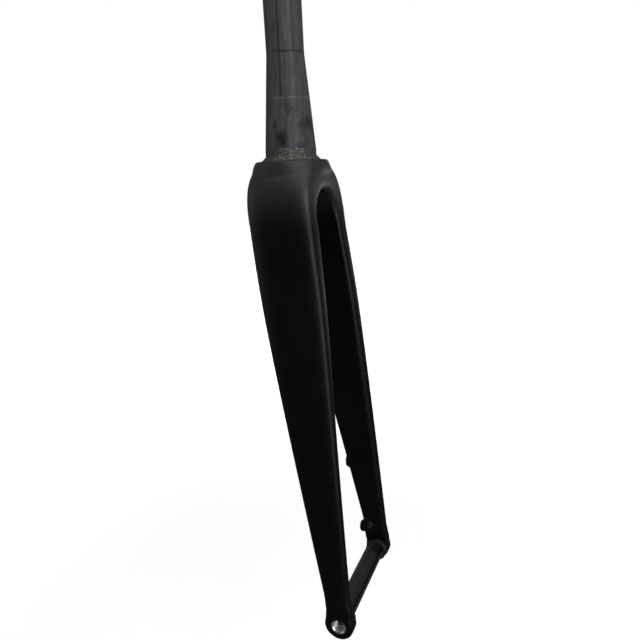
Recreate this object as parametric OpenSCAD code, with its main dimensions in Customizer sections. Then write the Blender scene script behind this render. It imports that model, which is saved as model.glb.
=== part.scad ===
// Carbon bicycle fork for a disc brake and a through-axle, moulded in one piece with its steerer.
// Millimetres. Z is the steerer's axis, and z = 0 is the ledge that the crown race seat stands on.
// The bicycle's front is -Y. Its left, the brake side, is +X.

/* [Steerer] */
// Length of the uncut steerer above the ledge
steerer_length = 300; // [200:5:350]
// Outer diameter of the steerer's straight upper part
steerer_d = 28.6; // [22:0.1:35]
// Wall of the steerer's straight upper part
steerer_wall = 2.9; // [2:0.1:4]
// Height above the ledge at which the taper ends and the straight part begins
taper_top = 77; // [50:1:120]
// Diameter of the seat that the crown race is pressed on
race_seat_d = 39.8; // [33:0.1:48]
// Height above the ledge of the race seat's upper edge
race_seat_top = 7.6; // [6:0.1:12]
// Height and width of the bevel between the ledge and the race seat
race_bevel = 3.6; // [2:0.1:5]
// Bevel at the steerer's upper end, inside and outside
steerer_bevel = 0.5; // [0.2:0.1:1]

/* [Crown] */
// Diameter of the ledge's rim, equal to the head tube's lower end
crown_d = 57.5; // [50:0.5:64]
// Radius of the rim's rounded edge
rim_round = 1; // [0.4:0.1:2]
// Depth below the ledge at which the round rim has blended into the shoulders
blend_depth = 17; // [14:0.5:22]
// Bulge of the crown's front and back below the rim
crown_bulge = 1; // [0:0.1:2]
// Squareness of the crown where it meets the shoulders, where 2 is an ellipse
crown_squareness = 3.6; // [2:0.1:5]
// Thickness of the crown over the top of the wheel arch
crown_thickness = 23; // [18:0.5:30]
// Depth below the ledge at which the arch ends and the blades begin
shoulder_depth = 50; // [40:1:65]
// Distance from the steerer's axis to the outer side of a blade at the shoulder
shoulder_reach = 40.6; // [34:0.1:46]
// Squareness of the shoulders' outer curve, where 2 is an ellipse
shoulder_squareness = 2.8; // [2:0.1:4]

/* [Blades] */
// Distance along the steerer's axis from the ledge down to the axle
axle_drop = 375; // [300:1:450]
// Distance that the axle lies ahead of the steerer's axis
rake = 46; // [35:0.5:56]
// Depth below the ledge at which the blades start to lean forward
lean_start = 27; // [10:1:60]
// Distance over which the blades ease from upright into their lean
lean_ease = 26; // [5:1:60]
// Distance that the blades' middle passes ahead of the axle
blade_lead = 0.9; // [0:0.1:3]
// Front to back size of a blade at the crown
blade_top_depth = 55.4; // [44:0.2:64]
// Front to back size of a blade at the height of the axle
blade_tip_depth = 19.4; // [16:0.2:26]
// Depth below the ledge at which the blades start to narrow from front to back
narrowing_start = 108; // [40:1:140]
// Distance over which the narrowing sets in
narrowing_ease = 37; // [10:1:80]
// Side to side thickness of a blade at the shoulder
blade_top_thickness = 19.6; // [16:0.2:28]
// Outward bow of a blade's outer side halfway down
blade_bow = 0.7; // [0:0.1:2]
// Loss of thickness halfway down, against a straight taper
blade_waist = 1.8; // [0:0.1:3]
// Squareness of a blade's section, where 2 is an ellipse
blade_squareness = 2.5; // [2:0.1:4]
// Squareness of the wheel's side of the crown and shoulders
arch_squareness = 4; // [2:0.1:6]
// Share of a section's inner half at which the flat inner wall cuts it off with an edge
wall_cut = 0.79; // [0.5:0.01:0.95]

/* [Dropouts] */
// Clear width between the faces that the hub stands against
hub_width = 100; // [84:1:120]
// Thickness of a dropout from the hub's face to its outer face
dropout_thickness = 10; // [8:0.5:13]
// Diameter of the right dropout's round end
right_dropout_d = 25; // [22.6:0.1:30]
// Diameter of the left dropout's round end
left_dropout_d = 22.8; // [22.6:0.1:30]
// Radius of a dropout's rounded outer edge
dropout_round = 1.6; // [1:0.1:4]
// Length over which a blade widens into its dropout
dropout_flare = 26; // [10:1:50]
// Squareness of a blade's section at its dropout, where 2 is an ellipse
dropout_squareness = 5; // [2:0.5:8]
// Height of the middle of a dropout's round end above the axle
dropout_lift = 0.5; // [0:0.1:2]
// Diameter of the shallow seat that centres the hub's end cap
hub_seat_d = 20.6; // [17:0.1:21]
// Height of the rim round that seat
hub_seat_depth = 1.2; // [0.5:0.1:2]
// Diameter of the through-axle
axle_d = 12; // [10:0.1:15]
// Outer diameter of the metal sleeves in the dropouts
sleeve_d = 16; // [14:0.1:18]
// Depth of the axle's screw thread
thread_depth = 0.8; // [0.5:0.05:1]
// Bevel at the mouths of the sleeves
sleeve_bevel = 0.8; // [0.3:0.1:1.2]
// Thickness of the carbon lip that covers the threaded sleeve's outer end
sleeve_lip = 0.8; // [0.5:0.1:1.5]

/* [Brake mount] */
// Distance between the two brake bolts
brake_spacing = 70; // [60:1:80]
// Distance that the bolts lie inboard of the hub's face
brake_inboard = 2; // [0:0.5:4]
// Angle between the mounting line and the steerer's axis
brake_tilt = 10.2; // [5:0.1:16]
// Distance along the mounting line from the axle to the lower bolt
brake_rise = 25; // [20:0.5:32]
// Distance of the mounting plane behind the axle
brake_setback = 11.3; // [10:0.1:18]
// Diameter of the bosses that carry the bolts
boss_d = 10.8; // [9:0.1:14]
// Length of a boss behind the mounting plane
boss_length = 7.5; // [6:0.5:16]
// Diameter of the brake bolts
bolt_d = 5; // [4:0.5:6]
// Outer diameter of the metal thread inserts
insert_d = 7; // [6.2:0.1:8]
// Length of the metal thread inserts
insert_length = 10; // [7:0.5:12]

/* [Hose port] */
// Depth below the ledge of the port where the brake hose leaves the blade
port_drop = 232; // [180:1:260]
// Diameter of the rubber grommet's round ends
port_width = 7.4; // [6:0.1:9]
// Length of the straight sides between those ends
port_straight = 6; // [3:0.5:10]
// Depth of the grommet's seat in the blade
port_depth = 4; // [3:0.5:6]
// Diameter of the brake hose
hose_d = 5; // [4:0.1:6]

/* [Spacer] */
// Inner diameter of the cups
cup_bore_d = 15.6; // [12:0.1:16.4]
// Length of a cup
cup_length = 5.6; // [4:0.1:8]
// Thickness of a cup's floor
cup_floor = 1.4; // [1:0.1:2.5]
// Width of the bar between the cups
bar_width = 15.2; // [11:0.1:16.4]
// Height of the bar's side rails
rail_height = 10.6; // [7:0.2:14]
// Thickness of the rails and of the web between them
bar_wall = 1.8; // [1.2:0.1:3]
// Angle that the bar's web leans forward
bar_tilt = 35; // [0:1:45]
// How far the bar's middle lies behind the axle
bar_setback = 1.4; // [0:0.1:2]

/* [Fit] */
// Gap round a cup in its hub seat
cup_gap = 0.2; // [0.1:0.05:0.3]
// Gap for the glue round each bonded sleeve and insert
bond_gap = 0.1; // [0.05:0.05:0.2]

/* [Hidden] */
$fn = 96;
past = 1;                       // how far a cut runs past the face that it opens
half_points = 16;               // points round the outer half of one section of the blades
wall_points = 5;                // points along each curve and the wall of its inner half
blade_steps = 26;               // sections along one blade
crown_steps = 14;               // sections from one shoulder to the middle of the crown
blend_steps = 8;                // level sections from the crown's rim down to its shoulders
blend_points = 72;              // points round one of those
tuck = 4;                       // how far the lowest of those lies inside the crown's front and back

hub_face = hub_width / 2;
crown_r = crown_d / 2;
cup_d = hub_seat_d - 2 * cup_gap;
steerer_bore_d = steerer_d - 2 * steerer_wall;
race_seat_r = race_seat_d / 2;
bevel_r = race_seat_r + race_bevel;
lean = (rake + blade_lead) / (axle_drop - lean_start);
narrowing = (blade_top_depth - blade_tip_depth) / 2 / (axle_drop - narrowing_start);
spread = (hub_face + dropout_thickness - shoulder_reach) / (axle_drop - shoulder_depth);
thread_bore_d = axle_d - 2 * thread_depth;
sleeve_length = dropout_thickness - sleeve_lip;
bolt_bore_d = bolt_d - 0.8;
brake_x = hub_face - brake_inboard;
port_seat_gap = 0.15;
rim_bevel = 0.5;                // bevel round the hub seat's rim
port_sink = 1.5;                // how far the port's lip lies below the blade's widest line
port_lean = atan(spread);

// A ramp that starts near 0, eased over the distance ease
function ramp(along, ease) = (sqrt(along * along + ease * ease) + along) / 2;
// One coordinate of a superellipse, for the sine or cosine v
function squared(v, squareness) = sign(v) * pow(abs(v), 2 / squareness);

// How far a depth lies into the flare above the dropout, eased from 0 to 1
function flared(depth) =
    let (s = max(0, min(1, (depth - axle_drop) / dropout_flare + 1)))
    s * s * (3 - 2 * s);
function mix(from, to, share) = from * (1 - share) + to * share;

// Diameter of the round end of the dropout on one side, which is 1 or -1
function dropout_d(side) = side > 0 ? left_dropout_d : right_dropout_d;

// Half the front to back size of a blade on one side, and the y of its middle, at a depth below the ledge
function half_depth(depth, side) = mix(
    blade_top_depth / 2 - narrowing * ramp(depth - narrowing_start, narrowing_ease),
    dropout_d(side) / 2, flared(depth));
function middle_y(depth) = mix(-lean * ramp(depth - lean_start, lean_ease), -rake, flared(depth));
// The share of the way from the shoulder down to the axle
function blade_share(depth) = (depth - shoulder_depth) / (axle_drop - shoulder_depth);
function half_thickness(depth) =
    let (share = blade_share(depth))
    mix(blade_top_thickness, dropout_thickness, share) / 2 - blade_waist * 2 * share * (1 - share);
function outer_x(depth) =
    let (share = blade_share(depth))
    shoulder_reach + spread * (depth - shoulder_depth) + blade_bow * 4 * share * (1 - share);
function middle_x(depth) = outer_x(depth) - half_thickness(depth);

// A section's ends in the XZ plane, [inner x, inner z, outer x, outer z], on a blade and in the crown
function blade_ends(depth) = [
    middle_x(depth) - half_thickness(depth), -depth,
    middle_x(depth) + half_thickness(depth), -depth
];
function crown_ends(angle) = let (foot = blade_ends(shoulder_depth)) [
    foot[0] * cos(angle), -shoulder_depth + (shoulder_depth - crown_thickness) * sin(angle),
    foot[2] * squared(cos(angle), shoulder_squareness),
    -shoulder_depth + shoulder_depth * squared(sin(angle), shoulder_squareness)
];
half_ends = concat(
    [for (i = [0:blade_steps - 1]) blade_ends(axle_drop + (shoulder_depth - axle_drop) * i / blade_steps)],
    [for (i = [0:crown_steps - 1]) crown_ends(90 * i / crown_steps)]
);
last = len(half_ends) - 1;
all_ends = concat(
    half_ends,
    [crown_ends(90)],
    [for (i = [last:-1:0]) [-half_ends[i][0], half_ends[i][1], -half_ends[i][2], half_ends[i][3]]]
);

// Squareness of a section's outer half, from its ends: the crown's middle and the dropouts are squarer
function outer_squareness(ends) =
    let (flat = max(0, 1 - abs(ends[0] + ends[2]) / (2 * shoulder_reach - blade_top_thickness)))
    mix(mix(blade_squareness, crown_squareness, flat), dropout_squareness, flared(-ends[1]));
// Squareness of its inner half, which turns the wheel
function inner_squareness(ends) =
    let (down = max(0, min(1, 2 * blade_share(-ends[1]))))
    mix(mix(arch_squareness, blade_squareness, down), dropout_squareness, flared(-ends[1]));

// Half of the front to back size at a share of the way from a section's middle to its inner wall
function inner_back(share, squareness) = pow(1 - pow(wall_cut * share, squareness), 1 / squareness);

// One section's outline as [out, back], from 1 to -1 each: the outer half as a superellipse from front
// to back, then the inner half as a curve to the wall's edge, the flat wall, and a curve to the front
function outline(outer, inner) = let (edge = inner_back(1, inner)) concat(
    [for (i = [0:half_points])
        let (angle = 180 * i / half_points - 90)
        [squared(cos(angle), outer), squared(sin(angle), outer)]],
    [for (i = [1:wall_points]) let (share = i / wall_points) [-share, inner_back(share, inner)]],
    [for (i = [1:wall_points]) [-1, edge * (1 - 2 * i / (wall_points + 1))]],
    [for (i = [wall_points:-1:1]) let (share = i / wall_points) [-share, -inner_back(share, inner)]]
);

// The points of one section, from its ends
function section(ends) =
    let (
        middle = [ends[0] + ends[2], ends[1] + ends[3]] / 2,
        half = [ends[2] - ends[0], ends[3] - ends[1]] / 2,
        depth = -middle[1]
    )
    [for (p = outline(outer_squareness(ends), inner_squareness(ends)))
        [middle[0] + half[0] * p[0], middle_y(depth) + half_depth(depth, middle[0]) * p[1],
            middle[1] + half[1] * p[0]]];

// A level section of the crown at a depth below the ledge, from the round rim to the shoulders
function crown_section(depth) =
    let (
        share = (depth - rim_round) / (blend_depth - rim_round),
        shoulder = crown_ends(asin(pow(1 - blend_depth / shoulder_depth, shoulder_squareness / 2))),
        half_x = mix(crown_r, shoulder[2] - tuck / 2, share),
        half_y = crown_r + crown_bulge * sin(180 * share) - tuck * share * share,
        squareness = mix(2, crown_squareness, share)
    )
    [for (i = [0:blend_points - 1])
        let (angle = 360 * i / blend_points)
        [half_x * squared(cos(angle), squareness),
            middle_y(depth) * share + half_y * squared(sin(angle), squareness), -depth]];

// A level section of the rim's rounded edge, from 0 at its side to 90 at the ledge
function rim_section(turn) =
    [for (i = [0:blend_points - 1])
        let (angle = 360 * i / blend_points, radius = crown_r - rim_round * (1 - cos(turn)))
        [radius * cos(angle), radius * sin(angle), -rim_round * (1 - sin(turn))]];

// A solid through rings of n points each, with flat ends
module loft(rings, n) {
    sides = [for (r = [0:len(rings) - 2], i = [0:n - 1])
        let (j = (i + 1) % n, a = r * n, b = a + n) each [[a + i, b + i, b + j], [a + i, b + j, a + j]]];
    first_cap = [for (i = [0:n - 1]) i];
    last_cap = [for (i = [n - 1:-1:0]) (len(rings) - 1) * n + i];
    polyhedron([for (ring = rings) each ring], concat(sides, [first_cap, last_cap]), convexity = 6);
}

// Both blades and the crown between them, as one loft from axle to axle
module blades_and_crown() {
    loft([for (ends = all_ends) section(ends)], half_points + 1 + 3 * wall_points);
}

// The crown's upper part, which turns from the ledge and its round rim into the shoulders
module crown_top() {
    step = (blend_depth - rim_round) / blend_steps;
    loft(concat(
        [for (i = [blend_steps:-1:0]) crown_section(rim_round + i * step)],
        [for (turn = [30:30:90]) rim_section(turn)]
    ), blend_points);
}

// The steerer with the race seat
module steerer() {
    rotate_extrude() polygon(concat(
        [[0, steerer_length], [steerer_d / 2 - steerer_bevel, steerer_length]],
        [[steerer_d / 2, steerer_length - steerer_bevel], [steerer_d / 2, taper_top]],
        [[race_seat_r, race_seat_top], [race_seat_r, race_bevel], [bevel_r, 0]],
        [[bevel_r, -rim_round - past], [0, -rim_round - past]]
    ));
}

// One dropout's round end, on the side of the fork that side gives as 1 or -1
module dropout(side) {
    r = dropout_d(side) / 2;
    round_at = [r - dropout_round, dropout_thickness - dropout_round];
    translate([0, 0, dropout_lift]) at_dropout(side)
        rotate_extrude() polygon(concat(
            [[0, -hub_seat_depth], [r - rim_bevel, -hub_seat_depth], [r, rim_bevel - hub_seat_depth]],
            [for (angle = [0:15:90]) round_at + dropout_round * [cos(angle), sin(angle)]],
            [[0, dropout_thickness]]
        ));
}

// Puts a child on the axle's line, with its z = 0 at the hub's face and +Z outward
module at_dropout(side) {
    translate([side * hub_face, -rake, -axle_drop]) rotate([0, side * 90, 0]) children();
}

// Puts a child at a brake bolt, 0 for the lower one, with +Z out of the mounting plane
module at_brake_bolt(number) {
    up = brake_rise + number * brake_spacing;
    y = -rake + up * sin(brake_tilt) + brake_setback * cos(brake_tilt);
    z = -axle_drop + up * cos(brake_tilt) - brake_setback * sin(brake_tilt);
    translate([brake_x, y, z]) rotate([-90 - brake_tilt, 0, 0]) children();
}

// A boss with a domed inner end
module brake_boss() {
    r = boss_d / 2;
    rotate_extrude() polygon(concat(
        [[0, 0], [r - 0.6, 0], [r, -0.6]],
        [for (angle = [0:-15:-90]) [r * cos(angle), -boss_length + r * sin(angle)]]
    ));
}

// The web that runs from the lower boss into the left dropout, outboard of the hub's face
module boss_web() {
    reach = dropout_thickness / 2;
    hull() {
        at_brake_bolt(0) translate([hub_face - brake_x, 0, -boss_d / 2]) rotate([0, 90, 0])
            cylinder(d = boss_d - 2, h = reach, $fn = 32);
        translate([0, 0, dropout_lift]) at_dropout(1) cylinder(d = left_dropout_d - 2, h = reach, $fn = 32);
    }
}

// Puts a child at the hose port, on the outer side of the left blade, with +Z out of the blade
module at_hose_port() {
    translate([middle_x(port_drop) + half_thickness(port_drop) - port_sink, middle_y(port_drop), -port_drop])
        rotate([0, 90 + port_lean, 0]) children();
}

// A flat-sided oval along the blade, from z = 0 down to -depth
module oval(width, straight, depth) {
    translate([0, 0, -depth]) linear_extrude(depth) union() {
        square([straight, width], center = true);
        for (end = [-1, 1]) translate([end * straight / 2, 0]) circle(d = width);
    }
}

module fork_body() {
    color([0.09, 0.09, 0.1]) difference() {
        union() {
            blades_and_crown();
            crown_top();
            steerer();
            for (side = [-1, 1]) dropout(side);
            for (number = [0, 1]) at_brake_bolt(number) brake_boss();
            boss_web();
        }
        steerer_bore();
        for (side = [-1, 1]) at_dropout(side) hub_seat();
        at_dropout(-1) threaded_sleeve_seat();
        at_dropout(1) plain_sleeve_seat();
        for (number = [0, 1]) at_brake_bolt(number) insert_seat();
        at_hose_port() port_seat();
    }
}

// The steerer's bore, open at the top and through the underside of the crown
module steerer_bore() {
    rise = steerer_length + crown_thickness;
    translate([0, 0, -crown_thickness - past]) cylinder(d = steerer_bore_d, h = rise + 2 * past);
    translate([0, 0, steerer_length - steerer_bevel])
        cylinder(d1 = steerer_bore_d, d2 = steerer_bore_d + 4 * steerer_bevel, h = 2 * steerer_bevel);
}

module hub_seat() {
    translate([0, 0, -dropout_thickness]) cylinder(d = hub_seat_d, h = dropout_thickness);
}

module threaded_sleeve_seat() {
    cylinder(d = sleeve_d + 2 * bond_gap, h = sleeve_length + bond_gap);
    cylinder(d = thread_bore_d + 2 * sleeve_bevel, h = dropout_thickness + past);
}

module plain_sleeve_seat() {
    cylinder(d = sleeve_d + 2 * bond_gap, h = dropout_thickness + past);
}

module insert_seat() {
    translate([0, 0, -insert_length - bond_gap])
        cylinder(d = insert_d + 2 * bond_gap, h = insert_length + bond_gap + past);
}

// The grommet's seat, run out past the blade's curved side
module port_seat() {
    gap = port_seat_gap;
    translate([0, 0, 2 * port_sink])
        oval(port_width + 2 * gap, port_straight, port_depth + 2 * port_sink + gap);
}

// A tube from z = 0 up, bevelled at the mouths that bevels gives as [low, high]
module sleeve(outer_d, bore_d, length, bevel, bevels) {
    difference() {
        cylinder(d = outer_d, h = length);
        translate([0, 0, -past]) cylinder(d = bore_d, h = length + 2 * past);
        if (bevels[0] == 1)
            translate([0, 0, -bevel]) cylinder(d1 = bore_d + 4 * bevel, d2 = bore_d, h = 2 * bevel);
        if (bevels[1] == 1)
            translate([0, 0, length - bevel]) cylinder(d1 = bore_d, d2 = bore_d + 4 * bevel, h = 2 * bevel);
    }
}

module threaded_axle_sleeve() {
    color([0.72, 0.73, 0.75]) at_dropout(-1)
        sleeve(sleeve_d, thread_bore_d, sleeve_length, sleeve_bevel, [1, 1]);
}

module plain_axle_sleeve() {
    color([0.72, 0.73, 0.75]) at_dropout(1)
        sleeve(sleeve_d, axle_d + 2 * bond_gap, dropout_thickness, sleeve_bevel, [1, 1]);
}

module brake_insert(number) {
    color([0.72, 0.73, 0.75]) at_brake_bolt(number) translate([0, 0, -insert_length])
        sleeve(insert_d, bolt_bore_d, insert_length, (bolt_d - bolt_bore_d) / 2, [0, 1]);
}

module upper_brake_insert() {
    brake_insert(1);
}

module lower_brake_insert() {
    brake_insert(0);
}

module hose_grommet() {
    color([0.05, 0.05, 0.05]) at_hose_port() difference() {
        union() {
            oval(port_width, port_straight, port_depth);
            translate([0, 0, port_sink]) oval(port_width, port_straight, port_sink + past);
        }
        translate([port_straight / 4, 0, -port_depth - past])
            cylinder(d = hose_d, h = port_depth + port_sink + 3 * past);
    }
}

// One cup, from the hub's face inward, open towards the middle of the fork
module cup() {
    translate([0, 0, -cup_length]) difference() {
        cylinder(d = cup_d, h = cup_length);
        translate([0, 0, -past]) cylinder(d = cup_bore_d, h = cup_length - cup_floor + past);
    }
}

// Puts a child's outline along the bar, out to reach on both sides
module along_bar(reach) {
    translate([-reach, bar_setback - rake, -axle_drop]) rotate([bar_tilt, 0, 0]) rotate([0, 90, 0])
        linear_extrude(2 * reach) children();
}

// The web ends at the cups' mouths, and the rails run on to their floors, no wider than the cups
module dropout_spacer() {
    color([0.14, 0.14, 0.15]) union() {
        for (side = [-1, 1]) at_dropout(side) cup();
        along_bar(hub_face - cup_length) square([bar_wall, bar_width], center = true);
        intersection() {
            along_bar(hub_face - cup_floor / 2)
                for (side = [-1, 1]) translate([0, side * (bar_width - bar_wall) / 2])
                    square([rail_height, bar_wall], center = true);
            translate([-hub_face, -rake, -axle_drop]) rotate([0, 90, 0]) cylinder(d = cup_d, h = hub_width);
        }
    }
}

fork_body();
threaded_axle_sleeve();
plain_axle_sleeve();
upper_brake_insert();
lower_brake_insert();
hose_grommet();
dropout_spacer();
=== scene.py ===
import math

import bpy
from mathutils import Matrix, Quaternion, Vector


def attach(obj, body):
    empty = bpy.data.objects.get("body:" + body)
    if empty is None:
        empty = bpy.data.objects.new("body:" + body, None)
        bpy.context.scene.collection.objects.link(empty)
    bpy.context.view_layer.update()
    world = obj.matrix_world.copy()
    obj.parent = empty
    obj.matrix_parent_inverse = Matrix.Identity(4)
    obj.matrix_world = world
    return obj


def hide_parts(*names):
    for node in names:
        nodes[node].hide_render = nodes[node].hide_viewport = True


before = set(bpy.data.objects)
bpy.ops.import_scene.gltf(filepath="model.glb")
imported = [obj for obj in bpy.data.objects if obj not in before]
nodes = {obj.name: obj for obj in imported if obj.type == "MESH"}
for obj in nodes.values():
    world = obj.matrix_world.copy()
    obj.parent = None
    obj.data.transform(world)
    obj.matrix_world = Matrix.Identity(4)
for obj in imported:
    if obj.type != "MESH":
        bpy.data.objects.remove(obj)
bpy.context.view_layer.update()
print("frame loaded,", len(nodes), "CAD nodes")

scene = bpy.context.scene
scene.view_settings.view_transform = "Standard"


# Small helpers

ringMerge = 0.000001  # closes a turned piece where its last ring meets its first


def clearSelection():
    if bpy.context.object and bpy.context.object.mode != "OBJECT":
        bpy.ops.object.mode_set(mode="OBJECT")
    bpy.ops.object.select_all(action="DESELECT")


def makeActive(thing):
    clearSelection()
    thing.select_set(True)
    bpy.context.view_layer.objects.active = thing


def applyModifiers(thing):
    makeActive(thing)
    for modifier in list(thing.modifiers):
        bpy.ops.object.modifier_apply(modifier=modifier.name)


def finishPiece(thing, material, replaced, smoothAngle):
    makeActive(thing)
    bpy.ops.object.transform_apply(location=True, rotation=True, scale=True)
    bpy.ops.object.shade_smooth_by_angle(angle=math.radians(smoothAngle))
    thing.data.materials.clear()
    thing.data.materials.append(material)
    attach(thing, "root")
    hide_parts(*replaced)


def turnedPiece(name, rings, segments):
    # turned about Z: a circle is extruded and resized from ring to ring, in (radius, height)
    clearSelection()
    radius, height = rings[0]
    bpy.ops.mesh.primitive_circle_add(vertices=segments, radius=radius, location=(0, 0, height))
    thing = bpy.context.object
    thing.name = thing.data.name = name
    bpy.ops.object.transform_apply(location=True)
    bpy.ops.object.mode_set(mode="EDIT")
    bpy.ops.mesh.select_mode(type="EDGE")
    bpy.ops.mesh.select_all(action="SELECT")
    for newRadius, newHeight in rings[1:]:
        move = {"value": (0, 0, newHeight - height)}
        bpy.ops.mesh.extrude_region_move(TRANSFORM_OT_translate=move)
        share = newRadius / radius
        bpy.ops.transform.resize(value=(share, share, 1), center_override=(0, 0, newHeight))
        radius, height = newRadius, newHeight
    bpy.ops.mesh.select_all(action="SELECT")
    bpy.ops.mesh.remove_doubles(threshold=ringMerge)
    bpy.ops.mesh.select_all(action="SELECT")
    bpy.ops.mesh.normals_make_consistent(inside=False)
    bpy.ops.object.mode_set(mode="OBJECT")
    return thing


# Camera at the photograph's angle

view = {
    "place": (-0.4152, -0.1973, -0.0111), "azimuth": -66.59, "elevation": 14.55, "roll": -2.87,
    "lens": 31.62, "sensor": 36, "clip": (0.01, 50),
}


def addCamera():
    azimuth, elevation = math.radians(view["azimuth"]), math.radians(view["elevation"])
    back = Vector((math.sin(azimuth) * math.cos(elevation),
                   -math.cos(azimuth) * math.cos(elevation), math.sin(elevation)))
    camera = bpy.data.objects.new("camera", bpy.data.cameras.new("camera"))
    scene.collection.objects.link(camera)
    camera.data.sensor_width = view["sensor"]
    camera.data.lens = view["lens"]
    camera.data.clip_start, camera.data.clip_end = view["clip"]
    roll = Quaternion((0, 0, 1), math.radians(view["roll"]))
    camera.rotation_mode = "QUATERNION"
    camera.rotation_quaternion = (-back).to_track_quat("-Z", "Y") @ roll
    camera.location = view["place"]
    scene.camera = camera


addCamera()
print("camera set")


# Material building

def setInput(tree, socket, value):
    if isinstance(value, bpy.types.NodeSocket):
        tree.links.new(value, socket)
    elif socket.type == "RGBA" and len(value) == 3:
        socket.default_value = (*value, 1)
    else:
        socket.default_value = value


def addNode(tree, kind, inputs=None, **settings):
    node = tree.nodes.new("ShaderNode" + kind)
    for key, value in settings.items():
        setattr(node, key, value)
    for key, value in (inputs or {}).items():
        setInput(tree, node.inputs[key], value)
    return node


def doMath(tree, operation, a, b=0.0):
    return addNode(tree, "Math", {0: a, 1: b}, operation=operation).outputs[0]


def multiply(tree, first, *others):
    for other in others:
        first = doMath(tree, "MULTIPLY", first, other)
    return first


def distanceFrom(tree, value, centre):
    return doMath(tree, "ABSOLUTE", doMath(tree, "SUBTRACT", value, centre))


def mapRange(tree, value, low, high, toLow=0.0, toHigh=1.0):
    inputs = {"Value": value, "From Min": low, "From Max": high, "To Min": toLow, "To Max": toHigh}
    return addNode(tree, "MapRange", inputs, interpolation_type="SMOOTHSTEP").outputs["Result"]


def mixValue(tree, share, a, b):
    return addNode(tree, "Mix", {0: share, 2: a, 3: b}).outputs[0]


def mixColour(tree, share, a, b):
    return addNode(tree, "Mix", {0: share, 6: a, 7: b}, data_type="RGBA").outputs[2]


def addNoise(tree, vector, scale, detail, roughness):
    inputs = {"Vector": vector, "Scale": scale, "Detail": detail, "Roughness": roughness}
    return addNode(tree, "TexNoise", inputs).outputs["Fac"]


def newMaterial(name, **values):
    material = bpy.data.materials.new(name)
    material.use_nodes = True
    tree = material.node_tree
    shader = tree.nodes["Principled BSDF"]
    for key, value in values.items():
        shader.inputs[key.replace("_", " ")].default_value = value
    place = addNode(tree, "TexCoord").outputs["Object"]
    return material, tree, shader, place


def makeGrainGroup():
    # fine unevenness of a moulded or sprayed surface: a mask about 0.5 and a normal
    group = bpy.data.node_groups.new("surfaceGrain", "ShaderNodeTree")
    for name, way, kind in (("Vector", "INPUT", "Vector"), ("Coarse", "INPUT", "Float"),
                            ("Fine", "INPUT", "Float"), ("Depth", "INPUT", "Float"),
                            ("Mask", "OUTPUT", "Float"), ("Normal", "OUTPUT", "Vector")):
        group.interface.new_socket(name, in_out=way, socket_type="NodeSocket" + kind)
    start = group.nodes.new("NodeGroupInput").outputs
    end = group.nodes.new("NodeGroupOutput").inputs
    coarse = addNoise(group, start["Vector"], start["Coarse"], detail=3.0, roughness=0.55)
    fine = addNoise(group, start["Vector"], start["Fine"], detail=2.0, roughness=0.6)
    fineShare = 0.4
    bump = addNode(group, "Bump", {"Height": fine, "Distance": start["Depth"], "Strength": 1.0})
    group.links.new(mixValue(group, fineShare, coarse, fine), end["Mask"])
    group.links.new(bump.outputs["Normal"], end["Normal"])
    return group


grainGroup = makeGrainGroup()

# Grain is a coarse scale, a fine scale and a depth. Roughness runs from its first to its second
# value where the grain's mask runs over maskSpread.
maskSpread = (0.3, 0.7)
paintLook = {
    "dark": (0.0009, 0.0009, 0.0010), "light": (0.0019, 0.0019, 0.0020),
    "grain": (28, 1500, 0.000012), "roughness": (0.36, 0.46),
    # painted light: the paint is greyer towards the top of the crown, where light from above falls
    # on it, and is coated there too, which gives the crown its broad highlight
    "crown": (0.0085, 0.0085, 0.0087), "crownEnd": -0.055, "crownTop": -0.008,
}
aluminiumLook = {
    "dark": (0.55, 0.56, 0.57), "light": (0.72, 0.72, 0.71),
    "grain": (200, 2500, 0.00001), "roughness": (0.22, 0.36),
}
rubberLook = {
    "dark": (0.014, 0.014, 0.014), "light": (0.026, 0.026, 0.025), "grain": (150, 1800, 0.00003),
}
plasticLook = {
    "dark": (0.010, 0.010, 0.011), "light": (0.019, 0.019, 0.020),
    "grain": (120, 2200, 0.00003), "roughness": (0.34, 0.48),
}


def makeGrained(name, look, **values):
    material, tree, shader, place = newMaterial(name, **values)
    coarse, fine, depth = look["grain"]
    inputs = {"Vector": place, "Coarse": coarse, "Fine": fine, "Depth": depth}
    grain = addNode(tree, "Group", inputs, node_tree=grainGroup).outputs
    colour = mixColour(tree, grain["Mask"], look["dark"], look["light"])
    # painted light: the colour turns a lighter grey towards the top of the crown, and the same
    # mask sets the coat weight
    if "crown" in look:
        height = addNode(tree, "SeparateXYZ", {"Vector": place}).outputs[2]
        crown = mapRange(tree, height, look["crownEnd"], look["crownTop"])
        colour = mixColour(tree, crown, colour, look["crown"])
        tree.links.new(crown, shader.inputs["Coat Weight"])
    tree.links.new(colour, shader.inputs["Base Color"])
    if "roughness" in look:
        rough = mapRange(tree, grain["Mask"], *maskSpread, *look["roughness"])
        tree.links.new(rough, shader.inputs["Roughness"])
    tree.links.new(grain["Normal"], shader.inputs["Normal"])
    return material


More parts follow.
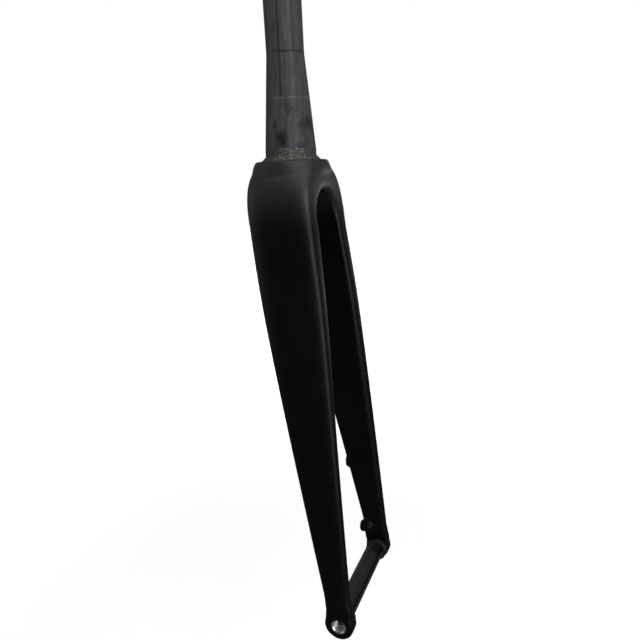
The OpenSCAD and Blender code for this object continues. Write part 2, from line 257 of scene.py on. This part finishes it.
# A pair beside a pattern's or a measure's name is where the feature begins and where it is full,
# and four values are such a pair with the two strengths that go with it
rawCarbonLook = {
    "grey": (0.036, 0.039, 0.042), "lightGrey": (0.060, 0.062, 0.064),
    "dark": (0.010, 0.011, 0.013), "streaks": (0.35, 0.68), "streakStretch": (1, 1, 0.12),
    "wobble": 0.002, "ragged": 1.2,
    # dark mottling below the pale line
    "mottle": {"clouds": (0.46, 0.62), "height": (0.046, 0.033), "share": 0.75},
    "smear": {"clouds": (0.36, 0.30), "share": 0.5, "colour": (0.12, 0.12, 0.12)},
    # turn in degrees, half width, lower end
    "seams": ((188, 0.0006, 0.045), (230, 0.0005, 0.077)),
    "seamEdge": (1.6, 0.4), "seamFacing": (0.001, 0.004), "seamFade": 0.0006, "seamShare": 0.75,
    "patch": {"turn": 184, "height": 0.0155, "halfWidth": 0.0075, "halfHeight": 0.0085,
              "core": 0.3, "facing": (0.001, 0.006), "uneven": (0.36, 0.56, 0.35, 0.95)},
    # the dark resin line where the taper ends, and the pale line below it
    "lines": (
        {"height": 0.077, "distance": (0.0012, 0.0003), "pattern": "clouds",
         "uneven": (0.40, 0.56, 0.35, 0.95), "colour": (0.010, 0.011, 0.013)},
        {"height": 0.045, "distance": (0.0007, 0.0002), "pattern": "streaks",
         "uneven": (0.40, 0.60, 0.08, 0.5), "colour": (0.16, 0.16, 0.16)},
    ),
    # the sanded race seat with its pale flecks, which show only near one turn round it and are
    # brightest there: a painted glint on the side that faces the camera
    "seat": {"height": (0.0093, 0.0079), "colour": (0.034, 0.034, 0.033), "paintedGlintTurn": 209,
             "paintedGlint": (0.0165, 0.0198, 0.22, 1), "flecks": (0.54, 0.66),
             "fleckColour": (0.40, 0.38, 0.32)},
    "roughness": 0.52, "seatRoughness": 0.7,
    # distance and strength
    "streakBump": (0.00006, 0.6), "fleckBump": (0.00004, 0.5),
}


def roundTube(tree, x, y, turn):
    # how far a point lies beside the line at this turn round Z, and how far out towards it
    cosine, sine = math.cos(math.radians(turn)), math.sin(math.radians(turn))
    beside = doMath(tree, "ADD", multiply(tree, x, -sine), multiply(tree, y, cosine))
    out = doMath(tree, "ADD", multiply(tree, x, cosine), multiply(tree, y, sine))
    return beside, out


def addSeam(tree, base, spot, seam):
    look = rawCarbonLook
    x, y, z, wobble = spot
    turn, halfWidth, lowerEnd = seam
    beside, out = roundTube(tree, x, y, turn)
    beside = doMath(tree, "ABSOLUTE", doMath(tree, "ADD", beside, wobble))
    edge = [halfWidth * share for share in look["seamEdge"]]
    line = multiply(tree, mapRange(tree, beside, *edge), mapRange(tree, out, *look["seamFacing"]),
                    mapRange(tree, z, lowerEnd, lowerEnd + look["seamFade"]), look["seamShare"])
    return mixColour(tree, line, base, look["dark"])


def addPatch(tree, base, spot, clouds):
    patch = rawCarbonLook["patch"]
    x, y, z, wobble = spot
    beside, out = roundTube(tree, x, y, patch["turn"])
    beside = doMath(tree, "ABSOLUTE", doMath(tree, "ADD", beside, wobble))
    level = distanceFrom(tree, doMath(tree, "ADD", z, wobble), patch["height"])
    width, height, core = patch["halfWidth"], patch["halfHeight"], patch["core"]
    shown = multiply(tree, mapRange(tree, beside, width, width * core),
                     mapRange(tree, level, height, height * core),
                     mapRange(tree, out, *patch["facing"]),
                     mapRange(tree, clouds, *patch["uneven"]))
    return mixColour(tree, shown, base, rawCarbonLook["dark"])


def seatColour(tree, x, y, flecks):
    seat = rawCarbonLook["seat"]
    # painted glint: the flecks fade out away from one turn round the seat and are brightest at it
    out = roundTube(tree, x, y, seat["paintedGlintTurn"])[1]
    fleckAndPaintedGlint = multiply(tree, mapRange(tree, flecks, *seat["flecks"]),
                     mapRange(tree, out, *seat["paintedGlint"]))
    return mixColour(tree, fleckAndPaintedGlint, seat["colour"], seat["fleckColour"])


def addBump(tree, height, look, **more):
    distance, strength = look
    inputs = {"Height": height, "Distance": distance, "Strength": strength, **more}
    return addNode(tree, "Bump", inputs).outputs[0]


def makeRawCarbon():
    look = rawCarbonLook
    material, tree, shader, place = newMaterial("rawCarbon", Specular_IOR_Level=0.25)
    x, y, z = addNode(tree, "SeparateXYZ", {"Vector": place}).outputs
    # streaks are drawn out along the tube, clouds and flecks are not
    drawn = addNode(tree, "Mapping", {"Vector": place, "Scale": look["streakStretch"]}).outputs[0]
    streaks = addNoise(tree, drawn, scale=420.0, detail=4.0, roughness=0.6)
    clouds = addNoise(tree, place, scale=75.0, detail=5.0, roughness=0.62)
    flecks = addNoise(tree, place, scale=1300.0, detail=2.0, roughness=0.7)
    patterns = {"streaks": streaks, "clouds": clouds}
    base = mixColour(tree, mapRange(tree, streaks, *look["streaks"]),
                     look["grey"], look["lightGrey"])
    mottle, smear = look["mottle"], look["smear"]
    shown = multiply(tree, mapRange(tree, clouds, *mottle["clouds"]),
                     mapRange(tree, z, *mottle["height"]), mottle["share"])
    base = mixColour(tree, shown, base, look["dark"])
    shown = multiply(tree, mapRange(tree, clouds, *smear["clouds"]), smear["share"])
    base = mixColour(tree, shown, base, smear["colour"])
    # ply overlaps as dark lines down the tube, and a dark patch low on the taper's right side
    wobble = multiply(tree, doMath(tree, "SUBTRACT", clouds, 0.5), look["wobble"])
    for seam in look["seams"]:
        base = addSeam(tree, base, (x, y, z, wobble), seam)
    base = addPatch(tree, base, (x, y, z, wobble), clouds)
    ragged = doMath(tree, "ADD", z, multiply(tree, wobble, look["ragged"]))
    for line in look["lines"]:
        off = distanceFrom(tree, ragged, line["height"])
        shown = multiply(tree, mapRange(tree, off, *line["distance"]),
                         mapRange(tree, patterns[line["pattern"]], *line["uneven"]))
        base = mixColour(tree, shown, base, line["colour"])
    sanded = mapRange(tree, ragged, *look["seat"]["height"])
    base = mixColour(tree, sanded, base, seatColour(tree, x, y, flecks))
    tree.links.new(base, shader.inputs["Base Color"])
    rough = mixValue(tree, sanded, look["roughness"], look["seatRoughness"])
    tree.links.new(rough, shader.inputs["Roughness"])
    streakBump = addBump(tree, streaks, look["streakBump"])
    fleckBump = addBump(tree, flecks, look["fleckBump"], Normal=streakBump)
    tree.links.new(fleckBump, shader.inputs["Normal"])
    return material


paint = makeGrained("mattePaint", paintLook, Specular_IOR_Level=0.17, Coat_Roughness=0.5)
rawCarbon = makeRawCarbon()
aluminium = makeGrained("turnedAluminium", aluminiumLook, Metallic=1.0)
rubber = makeGrained("mouldedRubber", rubberLook, Roughness=0.75)
plastic = makeGrained("blackPlastic", plasticLook)
print("materials made")


# Painted crown and blades, from a merged copy of the CAD body below the ledge

shell = {
    "merge": 0.000002, "cutHeight": 0.0004, "voxel": 0.0011, "smoothFactor": 0.5, "smoothing": 3,
    "smoothAngle": 60,
}


def makeShell():
    mesh = nodes["fork_body"].data.copy()
    thing = bpy.data.objects.new("painted_shell", mesh)
    scene.collection.objects.link(thing)
    makeActive(thing)
    bpy.ops.object.mode_set(mode="EDIT")
    bpy.ops.mesh.select_all(action="SELECT")
    bpy.ops.mesh.remove_doubles(threshold=shell["merge"])
    bpy.ops.mesh.select_all(action="SELECT")
    bpy.ops.mesh.bisect(plane_co=(0, 0, shell["cutHeight"]), plane_no=(0, 0, 1),
                        use_fill=True, clear_outer=True)
    bpy.ops.object.mode_set(mode="OBJECT")
    remesh = thing.modifiers.new("remesh", "REMESH")
    remesh.mode, remesh.voxel_size = "VOXEL", shell["voxel"]
    smooth = thing.modifiers.new("smooth", "SMOOTH")
    smooth.factor, smooth.iterations = shell["smoothFactor"], shell["smoothing"]
    applyModifiers(thing)
    finishPiece(thing, paint, ["fork_body"], smoothAngle=shell["smoothAngle"])
    print("painted shell,", len(thing.data.polygons), "faces")


makeShell()


# Bare steerer with the race seat, its foot hidden in the shell

steerer = {
    "radius": 0.0143, "bore": 0.0114, "top": 0.3, "foot": -0.002, "edge": 0.0005,
    "taperTop": 0.077, "taperSteps": 8, "seatRadius": 0.0199, "seatTop": 0.0076,
    "seatBevel": 0.0036, "segments": 128, "smoothAngle": 30,
}


def makeSteerer():
    s = steerer
    radius, seatRadius, bevel = s["radius"], s["seatRadius"], s["seatBevel"]
    bore, top, edge = s["bore"], s["top"], s["edge"]
    rings = [(bore, s["foot"]), (seatRadius + bevel, s["foot"]), (seatRadius + bevel, 0),
             (seatRadius, bevel), (seatRadius, s["seatTop"])]
    for i in range(1, s["taperSteps"] + 1):
        share = i / s["taperSteps"]
        rings.append((seatRadius + (radius - seatRadius) * share,
                      s["seatTop"] + (s["taperTop"] - s["seatTop"]) * share))
    rings += [(radius, top - edge), (radius - edge, top), (bore + edge, top), (bore, top - edge),
              (bore, s["foot"])]
    thing = turnedPiece("bare_steerer", rings, s["segments"])
    finishPiece(thing, rawCarbon, ["fork_body"], smoothAngle=s["smoothAngle"])
    print("bare steerer,", len(thing.data.polygons), "faces")


makeSteerer()


# Threaded axle sleeve in the right dropout, with the thread that the CAD leaves out

axleSleeve = {
    "radius": 0.008, "crest": 0.0052, "root": 0.00595, "length": 0.0092, "mouth": 0.0008,
    "edge": 0.0002, "pitch": 0.0015, "turns": 5, "place": (-0.05, -0.046, -0.375),
    "segments": 64, "smoothAngle": 25,
    # shares of a pitch at which the crest ends, the root begins and ends and the crest returns
    "flanks": (0.08, 0.46, 0.54, 0.92),
}


def makeAxleSleeve():
    a = axleSleeve
    radius, crest, root, edge = a["radius"], a["crest"], a["root"], a["edge"]
    length, mouth, pitch = a["length"], a["mouth"], a["pitch"]
    rings = [(crest + mouth, 0), (radius - edge, 0), (radius, edge), (radius, length - edge),
             (radius - edge, length), (crest + mouth, length), (crest, length - mouth)]
    for turn in range(a["turns"]):
        height = length - mouth - pitch * turn
        for depth, flank in zip((crest, root, root, crest), a["flanks"]):
            rings.append((depth, height - pitch * flank))
    rings += [(crest, mouth), (crest + mouth, 0)]
    thing = turnedPiece("axle_sleeve_thread", rings, a["segments"])
    thing.rotation_euler = (0, -math.pi / 2, 0)
    thing.location = a["place"]
    finishPiece(thing, aluminium, ["threaded_axle_sleeve"],
                smoothAngle=a["smoothAngle"])
    print("axle sleeve,", len(thing.data.polygons), "faces")


makeAxleSleeve()


# Materials of the pieces that keep their CAD shape

for name, material in (("plain_axle_sleeve", aluminium), ("upper_brake_insert", aluminium),
                       ("lower_brake_insert", aluminium), ("hose_grommet", rubber),
                       ("dropout_spacer", plastic)):
    nodes[name].data.materials.clear()
    nodes[name].data.materials.append(material)
print("CAD pieces coloured")


# Floor, white surroundings and lamps

studio = {
    "floorHeight": -0.62, "floorSize": 12, "floorPale": 0.86, "bounce": 0.1,
    "ambient": 0.45, "glossAmbient": 0.11,
    # the side of the backdrop, and where on the floor and in the world it begins and is full
    "backdropTurn": 23, "floorEdges": (0.8, 2.5), "worldEdges": (0.84, 0.99),
    "shadowNear": 0.4, "shadowFar": 1.6, "nearGlow": 0.36, "aim": (0, -0.02, -0.1),
}
lamps = (
    {"name": "tallBand", "direction": (-0.6, -0.8, 0.1), "distance": 1.5, "size": (0.6, 1.6),
     "radiance": 5.6},
    {"name": "frontFill", "direction": (0.45, -0.9, 0.1), "distance": 1.8, "size": (1.2, 1.6),
     "radiance": 0.28},
    {"name": "rearFill", "direction": (-0.36, 0.92, 0.12), "distance": 1.8, "size": (0.8, 1.6),
     "radiance": 0.6},
    {"name": "overhead", "direction": (-0.2, -0.2, 1.0), "distance": 1.6, "size": (1.6, 1.6),
     "radiance": 1.1},
)


def whiteShare(tree, place, edges):
    # the camera sees white everywhere, gloss and glass see the white backdrop behind the fork
    path = addNode(tree, "LightPath").outputs
    turn = (0, 0, -math.radians(studio["backdropTurn"]))
    turned = addNode(tree, "Mapping", {"Vector": place, "Rotation": turn}).outputs[0]
    along = addNode(tree, "SeparateXYZ", {"Vector": turned}).outputs[0]
    mirrored = doMath(tree, "MAXIMUM", path["Is Glossy Ray"], path["Is Transmission Ray"])
    mirrored = multiply(tree, mirrored, mapRange(tree, along, *edges))
    return doMath(tree, "MAXIMUM", path["Is Camera Ray"], mirrored), path


def makeFloorMaterial():
    material = bpy.data.materials.new("paleFloor")
    material.use_nodes = True
    tree = material.node_tree
    tree.nodes.clear()
    place = addNode(tree, "TexCoord").outputs["Object"]
    share, path = whiteShare(tree, place, studio["floorEdges"])
    pale = mapRange(tree, path["Is Camera Ray"], 0, 1, studio["bounce"], studio["floorPale"])
    diffuse = addNode(tree, "BsdfDiffuse", {"Color": pale})
    # it glows less near the fork, where lamplight falls on it, so that it stays just under white
    away = addNode(tree, "VectorMath", {0: place}, operation="LENGTH").outputs["Value"]
    near = mapRange(tree, away, studio["shadowNear"], studio["shadowFar"], studio["nearGlow"], 1)
    glow = addNode(tree, "Emission", {"Color": (1, 1, 1), "Strength": multiply(tree, share, near)})
    both = addNode(tree, "AddShader", {0: diffuse.outputs[0], 1: glow.outputs[0]})
    addNode(tree, "OutputMaterial", {"Surface": both.outputs[0]})
    return material


def addFloor():
    clearSelection()
    bpy.ops.mesh.primitive_plane_add(size=studio["floorSize"],
                                     location=(0, 0, studio["floorHeight"]))
    floor = bpy.context.object
    floor.name = "floor"
    floor.data.materials.append(makeFloorMaterial())


def addWorld():
    world = bpy.data.worlds.new("studio")
    scene.world = world
    world.use_nodes = True
    tree = world.node_tree
    tree.nodes.clear()
    place = addNode(tree, "TexCoord").outputs["Generated"]
    share, path = whiteShare(tree, place, studio["worldEdges"])
    dim = mapRange(tree, path["Is Glossy Ray"], 0, 1, studio["ambient"], studio["glossAmbient"])
    strength = doMath(tree, "MAXIMUM", share, dim)
    background = addNode(tree, "Background", {"Color": (1, 1, 1), "Strength": strength})
    addNode(tree, "OutputWorld", {"Surface": background.outputs[0]})


def addLamps():
    for lamp in lamps:
        light = bpy.data.lights.new(lamp["name"], "AREA")
        light.shape = "RECTANGLE"
        light.size, light.size_y = lamp["size"]
        light.energy = lamp["radiance"] * math.pi * light.size * light.size_y
        thing = bpy.data.objects.new(lamp["name"], light)
        scene.collection.objects.link(thing)
        away = Vector(lamp["direction"]).normalized()
        thing.location = Vector(studio["aim"]) + away * lamp["distance"]
        thing.rotation_mode = "QUATERNION"
        thing.rotation_quaternion = away.to_track_quat("Z", "Y")


addFloor()
addWorld()
addLamps()
print("studio set,", len(lamps), "lamps")
